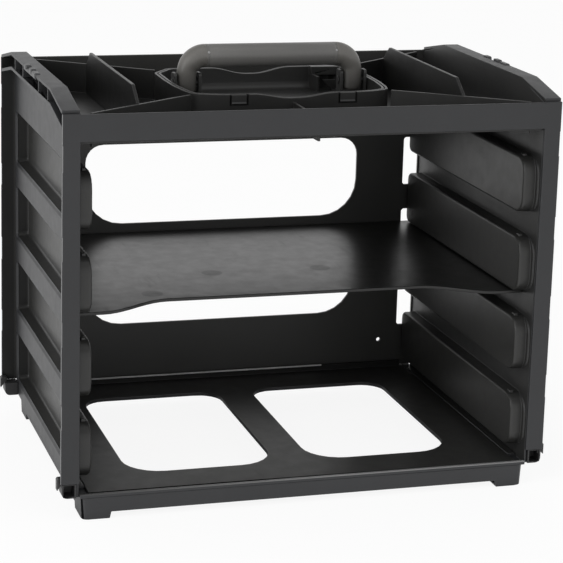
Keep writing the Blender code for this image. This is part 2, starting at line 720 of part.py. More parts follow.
def make_handle_housing(material):
    """The insert that lines the well: floor, wall, four lugs for the handle, snap tabs and the catch."""
    outer_inset = WELL_WALL + WELL_GAP
    inner_inset = outer_inset + WELL_WALL
    plan = [well_outline(outer_inset)]
    housing = prism("handle_housing", plan, "z", HOUSING_BOTTOM_Z, HOUSING_FLOOR_Z, caddy, material)
    loops = [well_outline(outer_inset), well_outline(inner_inset)]
    join(housing, prism("housing_wall", loops, "z", HOUSING_BOTTOM_Z + 0.6, RIM_Z, cutters))
    inner_back = WELL_BACK_Y - inner_inset
    centre = (inner_back - COVE_RADIUS, HOUSING_FLOOR_Z + COVE_RADIUS)
    cove = [(inner_back + 1, HOUSING_FLOOR_Z - 1), (inner_back + 1, centre[1])]
    cove += arc(centre, COVE_RADIUS, 0, -90, 4)
    cove.append((centre[0], HOUSING_FLOOR_Z - 1))
    join(housing, prism("housing_cove", [cove], "x", COVE_LEFT_X, CATCH_SPAN_X[0] + 1, cutters))
    inner_front = WELL_FRONT_Y + inner_inset
    for number, (left, right) in enumerate(TAB_SPANS_X):
        span_x = (left + TAB_CLEARANCE, right - TAB_CLEARANCE)
        span_z = (TAB_BOTTOM_Z + TAB_CLEARANCE, RIM_Z - 0.2)
        span_y = (WELL_FRONT_Y, inner_front - TAB_SET_IN)
        join(housing, block(f"snap_tab_{number}", span_x, span_y, span_z, cutters))
    for side in (-1, 1):
        for number, start in enumerate(lug_starts()):
            name = f"lug_{side}_{number}"
            lug = prism(name, [lug_outline()], "x", side * start, side * (start + LUG_THICK), cutters)
            join(housing, lug)
    add_catch(housing, inner_back)
    cut_rim_dips(housing)
    for side in (-1, 1):
        span_x = (side * (LEG_X - 13), side * (LEG_X + 11.5))
        cut(housing, rod(f"lug_bore_{side}", span_x, (0, PIVOT_Z), BORE_RADIUS, cutters))
    return housing


def add_catch(housing, inner_back):
    """The catch in the well's back right corner: a cap level with the rim, a post and a gusset under it."""
    left, right = CATCH_SPAN_X
    back = inner_back + 0.8
    low = HOUSING_FLOOR_Z - 1
    cap = [(left, inner_back - CATCH_DEPTH), (right, inner_back - CATCH_DEPTH)]
    cap += [(right - CATCH_CHAMFER / 2, back - 2.2), (right - CATCH_CHAMFER, back), (left, back)]
    join(housing, prism("catch_cap", [cap], "z", CATCH_POST_Z, CATCH_TOP_Z, cutters))
    span_x = (left + 0.5, left + 0.5 + CATCH_POST_THICK)
    span_y = (CATCH_POST_FRONT_Y, inner_back + 0.5)
    join(housing, block("catch_post", span_x, span_y, (low, CATCH_POST_Z + 1), cutters))
    gusset_left, gusset_right = GUSSET_SPAN_X
    gusset = [(gusset_left, GUSSET_TOP_Z), (gusset_right, GUSSET_TOP_Z)]
    gusset += [(gusset_right, low), (gusset_right - 2, low)]
    gusset_face = inner_back - GUSSET_SET_BACK
    join(housing, prism("catch_gusset", [gusset], "y", gusset_face, gusset_face + 2, cutters))


def lug_starts():
    """Distance from the middle to the near face of the inner and the outer lug."""
    half_gap = LEG_RADIUS + LUG_CLEARANCE
    return (LEG_X - half_gap - LUG_THICK, LEG_X + half_gap)


def bail_path():
    """Centre line of the bail from the right leg's end to its middle, with the radius at each point."""
    path = [(LEG_X, LEG_END_Z, LEG_RADIUS * 0.72), (LEG_X, LEG_END_Z + 0.9, LEG_RADIUS * 0.9)]
    path += [(LEG_X, LEG_END_Z + 2.6, LEG_RADIUS)]
    centre = (LEG_X - BEND_RADIUS, GRIP_Z - BEND_RADIUS)
    steps = 7
    for number, (x, z) in enumerate(arc(centre, BEND_RADIUS, 0, 90, steps)):
        share = number / steps
        path.append((x, z, LEG_RADIUS + (GRIP_RADIUS - LEG_RADIUS) * share))
    shoulder = GRIP_HALF_LENGTH + GAP
    path[-1] = (shoulder, GRIP_Z, GRIP_RADIUS)
    path.append((shoulder - 0.05, GRIP_Z, CORE_RADIUS))
    return path


def make_handle_bail(pivot, material):
    """The U of the handle, thinner inside the grip, bored through both legs for the pins."""
    right = bail_path()
    points = right + [(-x, z, radius) for x, z, radius in reversed(right)]
    curve = bpy.data.curves.new("handle_bail", "CURVE")
    curve.dimensions = "3D"
    curve.bevel_depth = MM
    curve.bevel_resolution = 4
    curve.use_fill_caps = True
    spline = curve.splines.new("POLY")
    spline.points.add(len(points) - 1)
    for point, (x, z, radius) in zip(spline.points, points):
        point.co = (x * MM, 0, (z - PIVOT_Z) * MM, 1)
        point.radius = radius
    tube = bpy.data.objects.new("bail_tube", curve)
    cutters.objects.link(tube)
    bpy.context.view_layer.update()
    evaluated = tube.evaluated_get(bpy.context.evaluated_depsgraph_get())
    mesh = bpy.data.meshes.new_from_object(evaluated)
    bpy.data.objects.remove(tube, do_unlink=True)
    weld(mesh)
    bail = add_object("handle_bail", mesh, caddy, material)
    for side in (-1, 1):
        span_x = (side * (LEG_X - LEG_RADIUS - 2), side * (LEG_X + LEG_RADIUS + 2))
        cut(bail, rod(f"leg_bore_{side}", span_x, (0, PIVOT_Z), BORE_RADIUS, cutters))
    bail.parent = pivot
    bail.data.shade_smooth()
    bail.data.set_sharp_from_angle(angle=radians(35))
    return bail


def make_turned(name, profile, steps, material):
    """A turned piece about its own Z: the profile runs down the outer side."""
    mesh = bpy.data.meshes.new(name)
    points = [(radius * MM, 0, height * MM) for radius, height in profile]
    closed = profile[0][0] > 0
    edges = [(number, number + 1) for number in range(len(points) - 1)]
    if closed:
        edges.append((len(points) - 1, 0))
    mesh.from_pydata(points, edges, [])
    thing = add_object(name, mesh, caddy, material)
    screw = thing.modifiers.new("turn", "SCREW")
    screw.angle = 2 * pi
    screw.steps = steps
    screw.render_steps = steps
    screw.use_merge_vertices = True
    screw.merge_threshold = 0.00001
    screw.use_smooth_shade = True
    return thing


def make_handle_grip(pivot, material):
    """A sleeve over the bail's middle."""
    half = GRIP_HALF_LENGTH - 0.2
    bore = CORE_RADIUS + GAP
    edge = 0.6
    profile = [
        (GRIP_RADIUS - edge, half),
        (GRIP_RADIUS, half - edge),
        (GRIP_RADIUS, -half + edge),
        (GRIP_RADIUS - edge, -half),
        (bore, -half),
        (bore, half),
    ]
    grip = make_turned("handle_grip", profile, 28, material)
    grip.parent = pivot
    grip.location = (0, 0, (GRIP_Z - PIVOT_Z) * MM)
    grip.rotation_euler = (0, pi / 2, 0)
    return grip


def make_handle_pin(label, side, material):
    """A headed pin through an inner lug, a leg and an outer lug."""
    inner, outer = lug_starts()
    low = inner - GAP
    high = outer + LUG_THICK + GAP
    half = (high - low) / 2
    profile = [
        (0, half + PIN_HEAD),
        (PIN_HEAD_RADIUS, half + PIN_HEAD),
        (PIN_HEAD_RADIUS, half),
        (PIN_RADIUS, half),
        (PIN_RADIUS, -half),
        (PIN_HEAD_RADIUS, -half),
        (PIN_HEAD_RADIUS, -half - PIN_HEAD),
        (0, -half - PIN_HEAD),
    ]
    pin = make_turned(f"handle_pin_{label}", profile, 16, material)
    pin.location = (side * (low + high) / 2 * MM, 0, PIVOT_Z * MM)
    pin.rotation_euler = (0, pi / 2, 0)
    return pin


def diagonal_y(x, y_side):
    """Place along Y of a front (-1) or back (1) diagonal rib at this distance from the middle."""
    inner_y = RIB_INNER_FRONT_Y if y_side < 0 else RIB_INNER_BACK_Y
    share = (x - RIB_INNER_X) / (RIB_OUTER[0] - RIB_INNER_X)
    return y_side * (inner_y + (RIB_OUTER[1] - inner_y) * share)


def make_divider(label, side, material):
    """A plate across the tray between two diagonal ribs, standing a little above them."""
    clearance = 2.8
    corner = 2.5
    outline = []
    for y_side in (-1, 1):
        end_y = diagonal_y(DIVIDER_X, y_side) - y_side * clearance
        centre = (y_side * DIVIDER_LEVEL_Y, DIVIDER_TOP_Z - corner)
        top = arc(centre, corner, 90 - y_side * 60, 90, 3)
        half = [(end_y, TRAY_FLOOR_Z + GAP), (end_y, RIM_Z)] + top
        outline += half if y_side < 0 else half[::-1]
    low, high = side * (DIVIDER_X - DIVIDER_THICK / 2), side * (DIVIDER_X + DIVIDER_THICK / 2)
    return prism(label + "_divider", [outline], "x", low, high, caddy, material)


def make_coupler(label, side, material):
    """A clip on the outer edge of the crest with three knuckles that link to a second rack."""
    low, high = COUPLER_SPAN_Y
    outline = [(low, COUPLER_BOTTOM_Z), (high, COUPLER_BOTTOM_Z)]
    for front, back, rise in KNUCKLES:
        outline += [(back, COUPLER_WAIST_Z), (back, CREST_TOP_Z + rise - KNUCKLE_ROUND)]
        outline += [(back - KNUCKLE_ROUND, CREST_TOP_Z + rise), (front + KNUCKLE_ROUND, CREST_TOP_Z + rise)]
        outline += [(front, CREST_TOP_Z + rise - KNUCKLE_ROUND), (front, COUPLER_WAIST_Z)]
    outline = list(dict.fromkeys(outline))
    inner = side * (COUPLER_INNER_X + GAP)
    clip = prism(label + "_coupler", [outline], "x", inner, side * COUPLER_OUTER_X, caddy, material)
    round_edges_at(clip, "x", side * COUPLER_OUTER_X, COUPLER_EDGE, 1)
    under = CREST_TOP_Z - CREST_SKIN - GAP
    tongue = block(
        label + "_coupler_tongue",
        (side * (INNER_HALF_WIDTH + PANEL + 2), inner + side * 1),
        (low + TONGUE_SHORT, high - TONGUE_SHORT),
        (under - TONGUE_THICK, under),
        cutters,
    )
    join(clip, tongue)
    return clip


def make_shoe(label, side, depth_side, material):
    """The hollow foot of a post, with a hook standing up outside it."""
    left = INNER_HALF_WIDTH + PANEL + GAP
    top = POST_FOOT_Z - GAP
    bottom = WALL_BOTTOM_Z
    outline = [(side * left, top), (side * left, bottom)]
    corner = (SHOE_OUTER_X - SHOE_CORNER, bottom + SHOE_CORNER)
    outline += [(side * x, z) for x, z in arc(corner, SHOE_CORNER, -90, 0, 4)]
    outline.append((side * SHOE_OUTER_X, top))
    face = depth_side * (HALF_DEPTH - 1.0)
    rear = face - depth_side * SHOE_DEPTH
    shoe = prism(label + "_shoe", [outline], "y", face, rear, caddy, material)
    span_x = (side * (left + SHOE_SKIN), side * (SHOE_OUTER_X - SHOE_SKIN))
    span_z = (bottom + SHOE_SKIN, top - SHOE_ROOF)
    span_y = (face + depth_side, rear + depth_side * SHOE_SKIN)
    pocket = block(label + "_shoe_pocket", span_x, span_y, span_z, cutters)
    hook_face = depth_side * (HALF_DEPTH - SKIN - GAP - 0.2)
    hook_rear = hook_face - depth_side * HOOK_DEPTH
    barb = [(HOOK_ROOT_X, POST_FOOT_Z - 4), (SHOE_OUTER_X, POST_FOOT_Z - 4), (SHOE_OUTER_X, HOOK_ROOT_Z)]
    barb += [(HOOK_OUTER_X, HOOK_TIP_Z), (HOOK_OUTER_X, HOOK_TOP_Z - 1), (HOOK_OUTER_X - 1, HOOK_TOP_Z)]
    barb.append((HOOK_ROOT_X, HOOK_TOP_Z))
    outline = [(side * x, z) for x, z in barb]
    hook = prism(label + "_shoe_hook", [outline], "y", hook_face, hook_rear, cutters)
    cut(shoe, pocket)
    join(shoe, hook)
    return shoe


def build():
    shell = make_material("charcoal_plastic", CHARCOAL, 0.45)
    lining = make_material("inner_plastic", CHARCOAL_INSIDE, 0.5)
    handle = make_material("handle_plastic", HANDLE_GREY, 0.38)
    shoes = make_material("shoe_plastic", SHOE_BLACK, 0.55)
    pins = make_material("pin_plastic", PIN_BLACK, 0.4)
    make_front_frame(shell)
    make_back_panel(lining)
    make_base_tray(shell)
    make_mid_shelf(lining)
    make_top_tray(lining)
    make_handle_housing(lining)
    pivot = bpy.data.objects.new("handle_pivot", None)
    caddy.objects.link(pivot)
    pivot.location = (0, 0, PIVOT_Z * MM)
    make_handle_bail(pivot, handle)
    make_handle_grip(pivot, handle)
    for label, side in (("left", -1), ("right", 1)):
        make_side_wall(label, side, shell)
        make_handle_pin(label, side, pins)
        make_divider(label, side, lining)
        make_coupler(label, side, shell)
        for depth_label, depth_side in (("front", -1), ("back", 1)):
            make_shoe(f"{depth_label}_{label}", side, depth_side, shoes)


clear_scene()
caddy = make_collection("storage_caddy")
cutters = make_collection("cutters")
build()
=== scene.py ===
"""Looks of the storage caddy: moulded plastic finishes, softened edges and small moulding details on
the fixed rack and its folding handle, on a pale floor in even studio light.

Frame: +X to the right, +Y to the back, +Z up, in metres. MM turns millimetres into metres.
"""

from math import cos, pi, radians, sin

import bmesh
import bpy
from mathutils import Matrix, Vector


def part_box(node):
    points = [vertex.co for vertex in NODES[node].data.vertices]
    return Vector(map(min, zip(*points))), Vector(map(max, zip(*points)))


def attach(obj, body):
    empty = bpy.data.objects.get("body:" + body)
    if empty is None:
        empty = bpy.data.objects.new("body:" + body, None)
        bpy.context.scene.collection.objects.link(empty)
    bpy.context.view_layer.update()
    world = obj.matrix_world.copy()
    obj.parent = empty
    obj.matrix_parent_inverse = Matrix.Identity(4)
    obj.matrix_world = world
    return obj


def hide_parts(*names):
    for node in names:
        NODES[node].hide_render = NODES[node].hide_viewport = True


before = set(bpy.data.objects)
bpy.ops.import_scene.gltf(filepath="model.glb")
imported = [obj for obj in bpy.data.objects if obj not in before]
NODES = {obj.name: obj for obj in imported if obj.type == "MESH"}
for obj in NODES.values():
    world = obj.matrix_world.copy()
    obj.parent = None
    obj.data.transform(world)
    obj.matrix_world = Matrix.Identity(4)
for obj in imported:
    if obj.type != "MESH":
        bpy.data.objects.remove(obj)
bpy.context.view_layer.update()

MM = 0.001

# ---------------------------------------------------------------- handle, in millimetres

GRIP_Z = 321.0
GRIP_RADIUS = 9.0
GRIP_HALF_LENGTH = 52.6
CORE_RADIUS = 6.0
LEG_X = 67.0
LEG_RADIUS = 7.7
LEG_END_Z = 292.2
LEG_END_ROUND = 3.2
LEG_SHADE_Z = (319.0, 298.0)  # where the shade starts and where it's complete
BEND_RADIUS = 14.0
PIVOT_Z = 300.0
BORE_RADIUS = 2.85
BORE_HALF_LENGTH = 12.0

# The bail thickens round its bend: growth of its radius, and the bend's angles that it grows between
BEND_SWELLS = ((0.75, 12, 45), (0.55, 40, 90))
# The bail's shoulder against the grip: how far out from its face, and how far inside the grip's radius
SHOULDER_INSET = 0.1
SHOULDER = ((0.30, 0), (0.12, 0.05), (0.02, 0.22), (0, GRIP_RADIUS - CORE_RADIUS))

SLEEVE_GAP = 0.15
SLEEVE_WALL_GAP = 0.3
# The sleeve's outline at an end, seam groove last: how far inside its radius, and how far from its end
SLEEVE_END = ((0.30, 0), (0.10, 0.10), (0, 0.32), (0, 1.85), (0.09, 2.0), (0.09, 2.2), (0, 2.35))

# A gate mark's outline: radius and height
GATE_OUTLINE = ((0, -0.6), (0.95, -0.6), (0.95, 0.22), (0.75, 0.42), (0.4, 0.50), (0, 0.52))
GATE_INSET = 1.1
GATE_SUNK = 0.2
GATE_LEAN = radians(66)

BAIL_SIDES = 44
BORE_SIDES = 28
SLEEVE_SIDES = 72
GATE_SIDES = 20

# ---------------------------------------------------------------- rack, in millimetres

# Each pair is where a mark starts and where it's complete
# Painted highlights on the posts' outer corners
POST_CORNER_X = (180.0, 182.0)
POST_CORNER_DEPTH = (1.5, 1.2)
# Painted shade on the back panel's flanges
FLANGE_X = (178.0, 180.0)
# Painted shade at the hollows' back ends
HOLLOW_END_Y = (90.0, 95.0)
# Top of the front lip's painted highlight, and where the rear lip's painted shade starts
LIP_TOP_Z = (19.2, 19.5)
REAR_LIP_Y = (126.5, 126.8)
REAR_LIP_Z = (20.2, 20.4)
INNER_WALL_X = (176.3, 175.9)
INNER_FLOOR_Z = (19.0, 19.9)

# Front and back of the groove. Its seam's painted shade fades to the right, and the painted highlight
# on the lip before it to the left: where each fade starts and ends, and the shares there.
GROOVE_Y = (-130.1, -127.9)
GROOVE_BLUR = 0.1
SEAM_SHADE_FADE = (110.0, -30.0, 0.35, 1.0)
LIP_HIGHLIGHT_FADE = (-165.0, 30.0, 0.12, 0.85)

# Snap tabs, with painted shade in their seams and a painted highlight on their lips. The seam's and
# lip's lengths are measured outwards from the tab's outline.
TAB_SPANS_X = ((-50.2, -36.6), (34.7, 48.6))
TAB_BOTTOM_Z = 294.0
TAB_FACE_Y = (-65.5, -65.8)
TAB_SEAM_INSET = 0.3
TAB_SEAM_WIDTH = (0.95, 0.75)
TAB_LIP_SIDE = (-1.0, -1.3)
TAB_LIP_BOTTOM = (-1.0, -1.2)
TAB_LIP_TOP = (-2.6, -2.2)

SHELF_DISCS = ((-108.0, -68.0), (-48.0, -16.0), (41.0, -16.0))
SHELF_DISC_RADIUS = 8.6
SHELF_DISC_BLUR = 0.8

# Lowest and highest corner of the pale strip painted as a highlight
REAR_EDGE = ((-165.0, 126.8, 24.2), (92.0, 127.9, 25.4))
REAR_EDGE_ROUND = 0.12

# Rounding of each moulding's edges
EDGE_WIDTHS = {
    "front_frame": 0.7,
    "left_side_wall": 0.45,
    "right_side_wall": 0.45,
    "base_tray": 0.4,
    "back_panel": 0.4,
    "mid_shelf": 0.6,
    "top_tray": 0.35,
    "handle_housing": 0.3,
    "left_divider": 0.5,
    "right_divider": 0.5,
}
SMALL_EDGE = 0.3
WINDOWED = "base_tray"
WELD_REACH = 0.001
FLAT_ANGLE = radians(0.7)
ROUNDED_ANGLE = radians(28)
SHARP_ANGLE = radians(40)

# ---------------------------------------------------------------- colours, linear

OUTSIDE = (0.0238, 0.0245, 0.0265)
SKIRT = (0.0290, 0.0299, 0.0322)
INSIDE = (0.0265, 0.0264, 0.0250)
PANEL = (0.0345, 0.0344, 0.0328)
TRAY = (0.0160, 0.0160, 0.0154)
HOUSING = (0.0210, 0.0210, 0.0204)
DIVIDER = (0.0090, 0.0090, 0.0086)
HANDLE = (0.158, 0.152, 0.141)
LEG_SHADE = (0.028, 0.027, 0.025)
GRIP = (0.150, 0.147, 0.141)
SHOE = (0.022, 0.022, 0.0225)
CLIP = (0.050, 0.051, 0.053)
PIN = (0.022, 0.022, 0.022)
# Colour painted as a highlight on the post corners, the front lip and the gate marks
PAINTED_HIGHLIGHT = (0.30, 0.30, 0.30)
# Colour of the strip painted as a highlight where light leaks past the back panel
LEAK = (0.52, 0.52, 0.52)
DUST = (0.10, 0.10, 0.095)
# Colour painted as a highlight on the snap tabs' lips
TAB_LIP_HIGHLIGHT = (0.09, 0.09, 0.092)
SEAM_SHADE = (0.002, 0.002, 0.002)
DEEP_SHADE = (0.003, 0.003, 0.003)
REAR_LIP_SHADE = (0.004, 0.004, 0.004)

# ---------------------------------------------------------------- plastic texture

# Noises: cells per metre, detail and roughness
CLOUDS = (7.0, 3.0, 0.55)
FLOW_LINES = (26.0, 4.0, 0.6)
SPECKLE = (1500.0, 2.0, 0.7)
WEAR_PATCHES = (55.0, 4.0, 0.65)
DUST_GRAINS = (340.0, 4.0, 0.7)
SCUFFS = (130.0, 5.0, 0.7)
MOTTLE = (90.0, 4.0, 0.6)
PITS = (1100.0, 3.0, 0.65)
SINKS = (16.0, 2.0, 0.5)
PIT_CELLS = 1500.0
NOISE_SPAN = (0.3, 0.7)  # holds nearly all of a noise's values
FLOW_STRETCH = (1.0, 0.22, 0.5)
SCUFF_STRETCH = (1.0, 0.12, 1.0)

# What the noises do. A noise's span is where its mark starts and where it's complete.
FLOW_SHARE = 0.7  # of the clouds' swing
SPECKLE_TONES = (0.90, 1.10)
WEAR_SPAN = (0.38, 0.62)
WEAR_SHARES = (0.35, 1.0)
DUST_SPAN = (0.60, 0.80)
SCUFF_SPAN = (0.60, 0.72)
MOTTLE_ROUGHNESS = (-0.035, 0.035)
PIT_CELL_SHARE = 0.5

# How far a face looks along an axis, where a mark starts and where it's complete
FACES_UP = (0.7, 1.0)
FACES_ASIDE = (0.5, 0.8)
FACES_FRONT = (-0.6, -0.85)

# Pale edges, partly rubbed wear and partly painted highlight: their reach, and how much paler
EDGE_WEAR_AND_HIGHLIGHT_REACH = 0.9 * MM
EDGE_WEAR_AND_HIGHLIGHT_GAIN = 2.0
EDGE_WEAR_AND_HIGHLIGHT_LIFT = 0.012
EDGE_AGREEMENT = (0.995, 0.80)  # of the rounded and the flat normal, on a flat and on an edge
# Painted shade in corners: how far it reaches and how dark it makes the colour
CORNER_REACH = 7 * MM
CORNER_SHADE = 0.45
PIT_DEPTH = 0.05 * MM
SINK_DEPTH = 0.35 * MM
SINK_STRENGTH = 0.35
INSIDE_ROUGHNESS = 0.40
INSIDE_GRAIN = 0.35  # share of the outside's grain
USUAL_SHINE = 0.5
PLASTIC_IOR = 1.5
SHADER_SAMPLES = 4

# Sockets of a Mix node, whose names repeat for each kind of value
MIX_SHARE = 0
MIX_NUMBERS = (2, 3)
MIX_COLOURS = (6, 7)
MIXED_COLOUR = 2

# ---------------------------------------------------------------- studio, in metres

CAMERA_AZIMUTH = radians(-16.90)
CAMERA_ELEVATION = radians(14.75)
CAMERA_ROLL = radians(1.58)
CAMERA_TARGET = Vector((9.78, 0, 138.99)) * MM
CAMERA_DISTANCE = 1.6744
SENSOR_WIDTH = 36
LENS_WIDTHS = 3.7181  # focal length over the sensor's width
SHIFT = (0.0094, -0.0020)

STAGE_REACH = 6.0
STAGE_MATTE = (0.86, 0.86, 0.86, 1)
STAGE_MATTE_ROUGHNESS = 0.9
STAGE_FAINT = (0.13, 0.13, 0.13, 1)
STAGE_GLOW = 0.90
FOOTPRINT = {"X": 0.186, "Y": 0.130}  # half sizes
FOOTPRINT_FADE = (-0.045, 0.030)  # inwards and outwards of it
WHITE = (1, 1, 1, 1)
SURROUND_HEIGHTS = (0.35, 0.85)
SURROUND_STRENGTHS = (0.93, 0.28)

# Place, aim, size and watts
SOFTBOXES = {
    "key": ((-1.6, -1.2, 1.5), (0, 0, 0.15), (1.4, 1.4), 8),
    "edge": ((-2.0, -0.7, 0.5), (0, 0, 0.15), (0.5, 1.6), 9),
    "top": ((0.0, -0.5, 1.9), (0, 0, 0.2), (1.6, 1.2), 3.5),
}


# ---------------------------------------------------------------- node trees


class Nodes:
    """A material's or a world's node tree, with short calls that add a node and return its output."""

    def __init__(self, owner):
        owner.use_nodes = True
        self.tree = owner.node_tree

    def feed(self, socket, value):
        if isinstance(value, bpy.types.NodeSocket):
            self.tree.links.new(value, socket)
        else:
            socket.default_value = value

    def node(self, kind, inputs, output=0, **settings):
        made = self.tree.nodes.new(kind)
        for name, value in settings.items():
            setattr(made, name, value)
        for name, value in inputs.items():
            self.feed(made.inputs[name], value)
        return made.outputs[output]

    def maths(self, operation, first, second=0.0):
        return self.node("ShaderNodeMath", {0: first, 1: second}, operation=operation)

    def plus(self, first, second):
        return self.maths("ADD", first, second)

    def minus(self, first, second):
        return self.maths("SUBTRACT", first, second)

    def times(self, first, *others):
        for other in others:
            first = self.maths("MULTIPLY", first, other)
        return first

    def most(self, first, second):
        return self.maths("MAXIMUM", first, second)

    def size_of(self, value):
        return self.maths("ABSOLUTE", value)

    def component(self, vector, axis):
        return self.node("ShaderNodeSeparateXYZ", {0: vector}, axis)

    def spread(self, value, low, high, to_low=0.0, to_high=1.0):
        """Carries the span from low to high over to the other one, and holds at its ends."""
        inputs = {"Value": value, "From Min": low, "From Max": high}
        inputs |= {"To Min": to_low, "To Max": to_high}
        return self.node("ShaderNodeMapRange", inputs, clamp=True)


class Plastic(Nodes):
    """A plastic's node tree, with the colour, roughness and shine that are built up in it."""

    def __init__(self, material, colour, roughness):
        super().__init__(material)
        self.shader = self.tree.nodes["Principled BSDF"]
        self.place = self.node("ShaderNodeTexCoord", {}, "Object")
        self.geometry = self.tree.nodes.new("ShaderNodeNewGeometry")
        self.colour = colour
        self.roughness = roughness
        self.shine = USUAL_SHINE

    def tint(self, share, colour, strength=1.0, blend="MIX"):
        made = self.tree.nodes.new("ShaderNodeMix")
        made.data_type = "RGBA"
        made.blend_type = blend
        self.feed(made.inputs[MIX_SHARE], self.times(share, strength))
        for index, value in zip(MIX_COLOURS, (self.colour, colour)):
            self.feed(made.inputs[index], (*value, 1.0) if isinstance(value, tuple) else value)
        self.colour = made.outputs[MIXED_COLOUR]

    def roughen(self, share, by=1.0):
        self.roughness = self.plus(self.roughness, self.times(share, by))

    def dull(self, share, by):
        self.shine = self.minus(self.shine, self.times(share, by))

    def finish(self):
        self.feed(self.shader.inputs["Base Color"], self.colour)
        self.feed(self.shader.inputs["Roughness"], self.roughness)
        self.feed(self.shader.inputs["Specular IOR Level"], self.shine)
        self.feed(self.shader.inputs["IOR"], PLASTIC_IOR)

    def blend_numbers(self, share, first, second):
        numbers = dict(zip(MIX_NUMBERS, (first, second)))
        return self.node("ShaderNodeMix", {MIX_SHARE: share, **numbers})

    def noise(self, sizes, stretch=None):
        scale, detail, roughness = sizes
        place = self.place
        if stretch:
            place = self.node("ShaderNodeMapping", {"Vector": place, "Scale": stretch})
        inputs = {"Vector": place, "Scale": scale, "Detail": detail, "Roughness": roughness}
        return self.node("ShaderNodeTexNoise", inputs, "Fac")

    def drift(self, sizes, low, high, stretch=None):
        """A noise that wanders between two values."""
        return self.spread(self.noise(sizes, stretch), *NOISE_SPAN, low, high)

    def cells(self, scale):
        return self.node("ShaderNodeTexVoronoi", {"Vector": self.place, "Scale": scale}, "Distance")

    def along(self, axis):
        """Distance along an axis."""
        return self.component(self.place, axis)

    def facing(self, axis):
        """How far a face looks along an axis, from -1 to 1."""
        return self.component(self.geometry.outputs["Normal"], axis)

    def past(self, length, start, end, to_low=0.0, to_high=1.0):
        """0 to 1, or the values given, as a length goes from the start to the end, in millimetres."""
        return self.spread(length, start * MM, end * MM, to_low, to_high)

    def edges(self, radius):
        """1 along convex edges within the radius, 0 on flats."""
        rounded = self.node("ShaderNodeBevel", {"Radius": radius}, samples=SHADER_SAMPLES)
        sides = {0: rounded, 1: self.geometry.outputs["True Normal"]}
        agreement = self.node("ShaderNodeVectorMath", sides, "Value", operation="DOT_PRODUCT")
        return self.spread(agreement, *EDGE_AGREEMENT)

    def crevices(self, distance):
        """0 in the open and towards 1 deep in corners."""
        inputs = {"Distance": distance}
        openness = self.node("ShaderNodeAmbientOcclusion", inputs, "AO", samples=SHADER_SAMPLES)
        return self.minus(1.0, openness)

    def disc(self, centre, radius, blur):
        """1 inside an upright cylinder round the centre (x, y), 0 outside it."""
        flat = self.node("ShaderNodeVectorMath", {0: self.place, 1: (1, 1, 0)}, operation="MULTIPLY")
        ends = {0: flat, 1: (centre[0] * MM, centre[1] * MM, 0)}
        away = self.node("ShaderNodeVectorMath", ends, "Value", operation="DISTANCE")
        return self.past(away, radius, radius - blur)


# ---------------------------------------------------------------- marks, painted highlights and painted shade on single mouldings


def post_corner_highlights(plastic):
    """Paler outer corners down the front of both posts, a painted highlight."""
    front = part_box("front_frame")[0][1] / MM
    starts, complete = POST_CORNER_DEPTH
    near_front = plastic.past(plastic.along("Y"), front + starts, front + complete)
    sideways = plastic.spread(plastic.size_of(plastic.facing("X")), *FACES_ASIDE)
    outer = plastic.past(plastic.size_of(plastic.along("X")), *POST_CORNER_X)
    plastic.tint(plastic.times(near_front, sideways, outer), PAINTED_HIGHLIGHT, strength=0.65)


def shaded_hollow_ends(plastic):
    """Painted shade on the dull back ends in the bosses' hollows."""
    deep = plastic.past(plastic.along("Y"), *HOLLOW_END_Y)
    ends = plastic.times(deep, plastic.spread(plastic.facing("Y"), *FACES_FRONT))
    plastic.tint(ends, DEEP_SHADE, strength=0.6)
    plastic.dull(ends, by=0.28)


def shaded_flanges(plastic):
    """Painted shade on the back panel's flanges outside the side walls, which are duller than its
    lining too.
    """
    flanges = plastic.past(plastic.size_of(plastic.along("X")), *FLANGE_X)
    plastic.tint(flanges, DEEP_SHADE, strength=0.7)
    plastic.dull(flanges, by=0.12)


def base_lips(plastic):
    """Painted shade in the front groove's seam, a painted highlight on the lip before it, and painted
    shade on a dull rear lip.
    """
    across, depth, height = (plastic.along(axis) for axis in "XYZ")
    groove_front, groove_back = GROOVE_Y
    # Painted shade in the groove's seam
    before_back = plastic.past(depth, groove_back + GROOVE_BLUR, groove_back)
    behind_front = plastic.past(depth, groove_front - GROOVE_BLUR, groove_front)
    seam = plastic.times(before_back, behind_front, plastic.past(across, *SEAM_SHADE_FADE))
    plastic.tint(seam, SEAM_SHADE, strength=0.8)
    plastic.shine = plastic.times(plastic.shine, plastic.minus(1.0, seam))
    # Painted highlight on the lip before the groove
    lip = plastic.times(plastic.past(height, *LIP_TOP_Z), plastic.minus(1.0, behind_front))
    plastic.tint(plastic.times(lip, plastic.past(across, *LIP_HIGHLIGHT_FADE)), PAINTED_HIGHLIGHT)
    # Painted shade on the rear lip
    rear_lip = plastic.times(plastic.past(depth, *REAR_LIP_Y), plastic.past(height, *REAR_LIP_Z))
    plastic.tint(rear_lip, REAR_LIP_SHADE, strength=0.8)
    plastic.dull(rear_lip, by=0.25)


